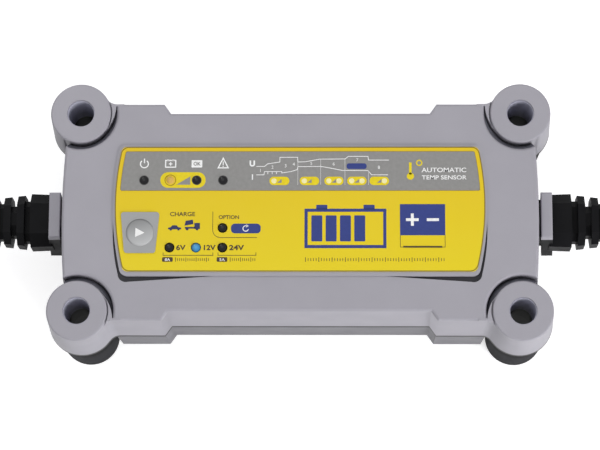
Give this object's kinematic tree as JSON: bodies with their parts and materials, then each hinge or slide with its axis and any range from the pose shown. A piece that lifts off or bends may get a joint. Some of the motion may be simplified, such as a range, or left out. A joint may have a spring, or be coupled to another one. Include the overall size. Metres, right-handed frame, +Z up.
{
  "type": "car battery charger",
  "caption": "Automatic car battery charger: flat housing on rubber corner feet, printed panel with lamps and a mode key, a mains lead and an output lead, each put away as a tied coil.",
  "frame": {"origin": "on the surface that the feet stand on, under the middle of the housing", "axes": "+Z up out of the front panel, +X along the housing towards the output lead, +Y towards the panel's top edge"},
  "size_m": [0.6139, 0.1128, 0.0664],
  "materials": {
    "housing_grey": "moulded, very fine grain",
    "housing_grey_dark": "moulded, very fine grain",
    "seal_black": "plain",
    "rubber_black": "soft satin moulding",
    "zinc_steel": "zinc plated",
    "label_film": "printed film, satin",
    "key_grey": "satin key and frame",
    "switch_plastic": "plain",
    "board_green": "solder mask",
    "lamp_blue": "clear lamp, lit",
    "lamp_dark": "dark lamp",
    "lamp_amber": "amber lamp, unlit",
    "boot_black": "satin moulding",
    "cable_black": "soft sheath",
    "tie_black": "plain strap",
    "plug_black": "moulded",
    "nickel": "nickel plated",
    "fuse_glass": "tube with plated caps",
    "capacitor_yellow": "boxed film",
    "copper": "enamelled wire",
    "component_black": "moulded parts",
    "capacitor_sleeve": "shrink sleeve",
    "ferrite": "plain",
    "heatsink_aluminium": "extruded",
    "ribbon_grey": "flat cable",
    "wire_insulation": "plain"
  },
  "bodies": {
    "charger": {"board_screws": "zinc_steel", "bridge_rectifier": "component_black", "bulk_capacitor": "capacitor_sleeve", "bumper_front_left": "rubber_black", "bumper_front_right": "rubber_black", "bumper_rear_left": "rubber_black", "bumper_rear_right": "rubber_black", "button_bezel": "key_grey", "charge_lamp": "lamp_amber", "connector_body": "plug_black", "connector_contacts": "nickel", "control_chips": "component_black", "display_board": "board_green", "display_screws": "zinc_steel", "filter_capacitor": "capacitor_yellow", "front_housing": "housing_grey", "front_label": "label_film", "housing_screws": "zinc_steel", "housing_seal": "seal_black", "main_board": "board_green", "mains_boot": "boot_black", "mains_choke": "copper", "mains_coil": "cable_black", "mains_fuse": "fuse_glass", "mains_gland_cap": "housing_grey", "mains_lead": "cable_black", "mains_ties": "tie_black", "mains_wires": "wire_insulation", "mode_switch": "switch_plastic", "output_boot": "boot_black", "output_capacitors": "capacitor_sleeve", "output_coil": "cable_black", "output_gland_cap": "housing_grey", "output_heatsink": "heatsink_aluminium", "output_lead": "cable_black", "output_relay": "component_black", "output_ties": "tie_black", "output_transistors": "component_black", "output_wires": "wire_insulation", "panel_seal": "seal_black", "plug_body": "plug_black", "plug_pins": "nickel", "primary_heatsink": "heatsink_aluminium", "primary_transistors": "component_black", "rear_housing": "housing_grey_dark", "ribbon_cable": "ribbon_grey", "ribbon_header": "component_black", "status_lamps": "lamp_dark", "temperature_sensor": "component_black", "transformer_core": "ferrite", "transformer_winding": "copper", "voltage_lamp_lit": "lamp_blue"},
    "mode_key": {"mode_button": "key_grey", "switch_plunger": "switch_plastic"}
  },
  "joints": [
    {"name": "mode_key_press", "type": "slide", "parent": "charger", "child": "mode_key", "axis": [0, 0, -1], "range_m": [0, 0.0008], "stiffness_N_per_m": 1500, "springref_m": -0.0004}
  ]
}
